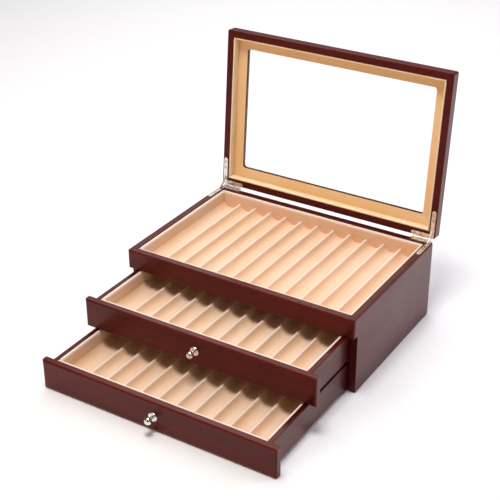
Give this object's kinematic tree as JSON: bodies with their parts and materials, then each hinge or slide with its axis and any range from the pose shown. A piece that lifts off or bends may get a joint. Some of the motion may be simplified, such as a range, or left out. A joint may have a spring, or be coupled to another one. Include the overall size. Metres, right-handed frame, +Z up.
{
  "type": "pen collector chest",
  "caption": "Lacquered wooden pen chest with a glazed lid on quadrant hinges, a fluted velvet tray on top and fluted velvet drawers with overlay fronts and round knobs.",
  "frame": {"origin": "on the surface the chest stands on, under the middle of the cabinet's footprint (width and depth of the cabinet without the pulled-out drawers)", "axes": "+X to the chest's right as seen from the back, which is the viewer's right in front of it, +Y from the front to the back, +Z up; stored with the lid open and both drawers pulled out"},
  "size_m": [0.345, 0.4774, 0.3494],
  "materials": {
    "lacquered_wood": "satin-gloss mahogany lacquer",
    "inner_board": "thin stained plywood",
    "velvet": "short-pile beige velvet",
    "lid_velvet": "short-pile tan velvet",
    "felt": "pressed felt",
    "chrome": "polished",
    "hinge_metal": "bright nickel plate",
    "screws": "bright",
    "glass": "clear"
  },
  "bodies": {
    "cabinet": {"left_side_panel": "lacquered_wood", "right_side_panel": "lacquered_wood", "back_panel": "lacquered_wood", "front_rail": "lacquered_wood", "bottom_panel": "inner_board", "drawer_shelf": "inner_board", "tray_floor": "inner_board", "felt_base_pad": "felt", "top_front_liner": "velvet", "top_back_liner": "velvet", "top_left_liner": "velvet", "top_right_liner": "velvet", "top_pen_bed": "velvet", "left_box_hinge_leaf": "hinge_metal", "right_box_hinge_leaf": "hinge_metal", "box_hinge_screws": "screws", "hinge_pins": "screws"},
    "lid": {"lid_front_rail": "lacquered_wood", "lid_back_rail": "lacquered_wood", "lid_left_rail": "lacquered_wood", "lid_right_rail": "lacquered_wood", "glass_pane": "glass", "lid_velvet_frame": "lid_velvet", "lid_front_liner": "lid_velvet", "lid_back_liner": "lid_velvet", "lid_left_liner": "lid_velvet", "lid_right_liner": "lid_velvet", "left_lid_hinge_leaf": "hinge_metal", "right_lid_hinge_leaf": "hinge_metal", "lid_hinge_screws": "screws", "stay_rivets": "screws"},
    "left_stay": {"left_stay_arm": "hinge_metal", "left_stay_stud": "screws"},
    "right_stay": {"right_stay_arm": "hinge_metal", "right_stay_stud": "screws"},
    "upper_drawer": {"upper_drawer_front": "lacquered_wood", "upper_drawer_left_side": "lacquered_wood", "upper_drawer_right_side": "lacquered_wood", "upper_drawer_back": "lacquered_wood", "upper_drawer_bottom": "inner_board", "upper_drawer_front_liner": "velvet", "upper_drawer_back_liner": "velvet", "upper_drawer_left_liner": "velvet", "upper_drawer_right_liner": "velvet", "upper_pen_bed": "velvet", "upper_knob": "chrome", "upper_knob_screw": "screws"},
    "lower_drawer": {"lower_drawer_front": "lacquered_wood", "lower_drawer_left_side": "lacquered_wood", "lower_drawer_right_side": "lacquered_wood", "lower_drawer_back": "lacquered_wood", "lower_drawer_bottom": "inner_board", "lower_drawer_front_liner": "velvet", "lower_drawer_back_liner": "velvet", "lower_drawer_left_liner": "velvet", "lower_drawer_right_liner": "velvet", "lower_pen_bed": "velvet", "lower_knob": "chrome", "lower_knob_screw": "screws"}
  },
  "joints": [
    {"name": "lid_hinge", "type": "hinge", "parent": "cabinet", "child": "lid", "pos_m": [0, 0.11935, 0.1143], "axis": [-1, 0, 0], "range_deg": [-95, 0]},
    {"name": "left_stay_pivot", "type": "hinge", "parent": "lid", "child": "left_stay", "pos_m": [-0.1677, 0.12193, 0.12773], "axis": [-1, 0, 0], "range_deg": [0, 47.5]},
    {"name": "right_stay_pivot", "type": "hinge", "parent": "lid", "child": "right_stay", "pos_m": [0.1677, 0.12193, 0.12773], "axis": [-1, 0, 0], "range_deg": [0, 47.5]},
    {"name": "upper_drawer_slide", "type": "slide", "parent": "cabinet", "child": "upper_drawer", "axis": [0, -1, 0], "range_m": [-0.095, 0.095]},
    {"name": "lower_drawer_slide", "type": "slide", "parent": "cabinet", "child": "lower_drawer", "axis": [0, -1, 0], "range_m": [-0.186, 0.004]}
  ],
  "couplings": [
    {"joint": "left_stay_pivot", "follows": "lid_hinge", "ratio": -0.5},
    {"joint": "right_stay_pivot", "follows": "lid_hinge", "ratio": -0.5}
  ]
}
